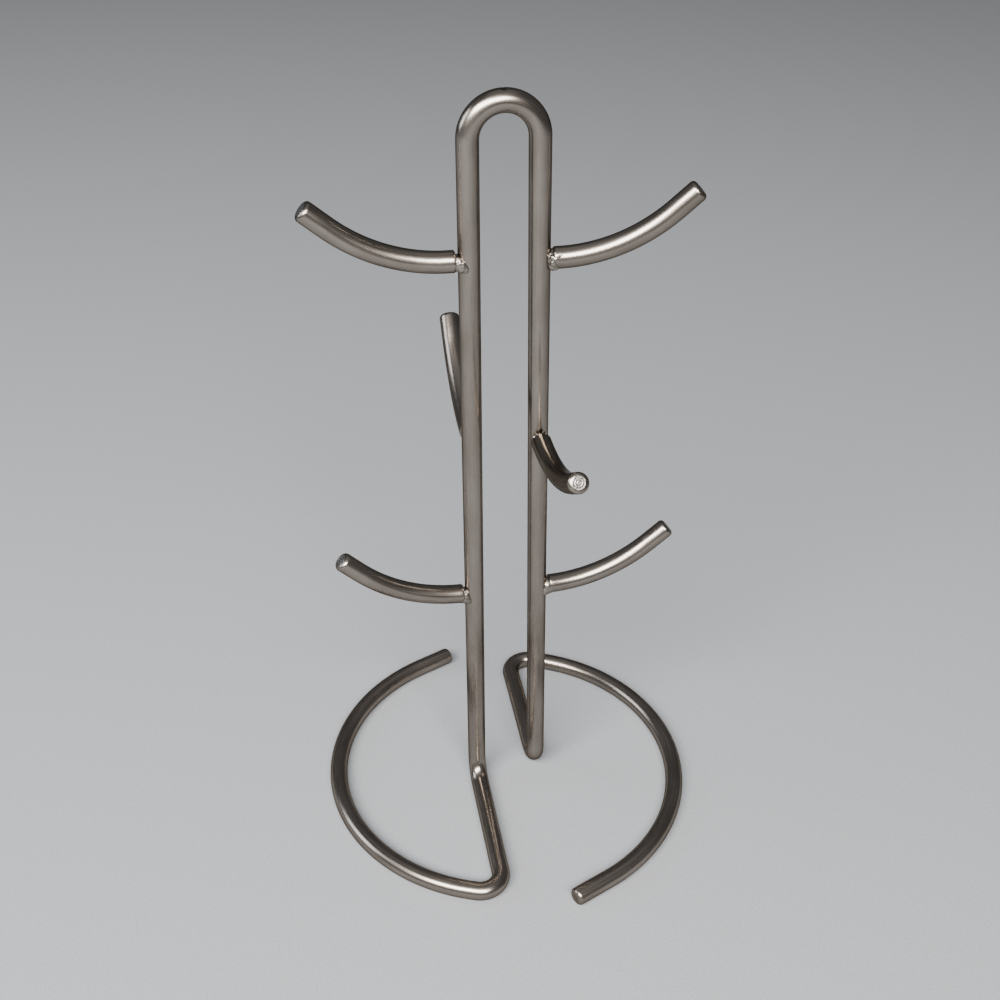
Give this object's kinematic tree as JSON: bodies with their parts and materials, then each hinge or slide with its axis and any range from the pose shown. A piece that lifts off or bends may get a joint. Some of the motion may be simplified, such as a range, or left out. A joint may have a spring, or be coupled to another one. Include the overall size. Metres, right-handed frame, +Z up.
{
  "type": "mug tree",
  "caption": "Mug tree of bent steel rod: a tall narrow loop on a split round base, with upcurved arms welded to its two uprights at three heights.",
  "frame": {"origin": "on the table at the middle of the round base, halfway between the two uprights", "axes": "+Z up along the uprights, +X to the right from one upright to the other, -Y towards the front arm"},
  "size_m": [0.186, 0.1926, 0.3609],
  "materials": {
    "satin_nickel": "satin nickel plate with a faint lengthwise grain",
    "weld_nickel": "lumpy weld metal under the same plate, brighter on its high spots"
  },
  "bodies": {
    "root": {"frame_rod": "satin_nickel", "upper_left_arm": "satin_nickel", "upper_right_arm": "satin_nickel", "front_arm": "satin_nickel", "back_arm": "satin_nickel", "lower_left_arm": "satin_nickel", "lower_right_arm": "satin_nickel", "upper_left_weld": "weld_nickel", "upper_right_weld": "weld_nickel", "front_weld": "weld_nickel", "back_weld": "weld_nickel", "lower_left_weld": "weld_nickel", "lower_right_weld": "weld_nickel"}
  },
  "joints": []
}
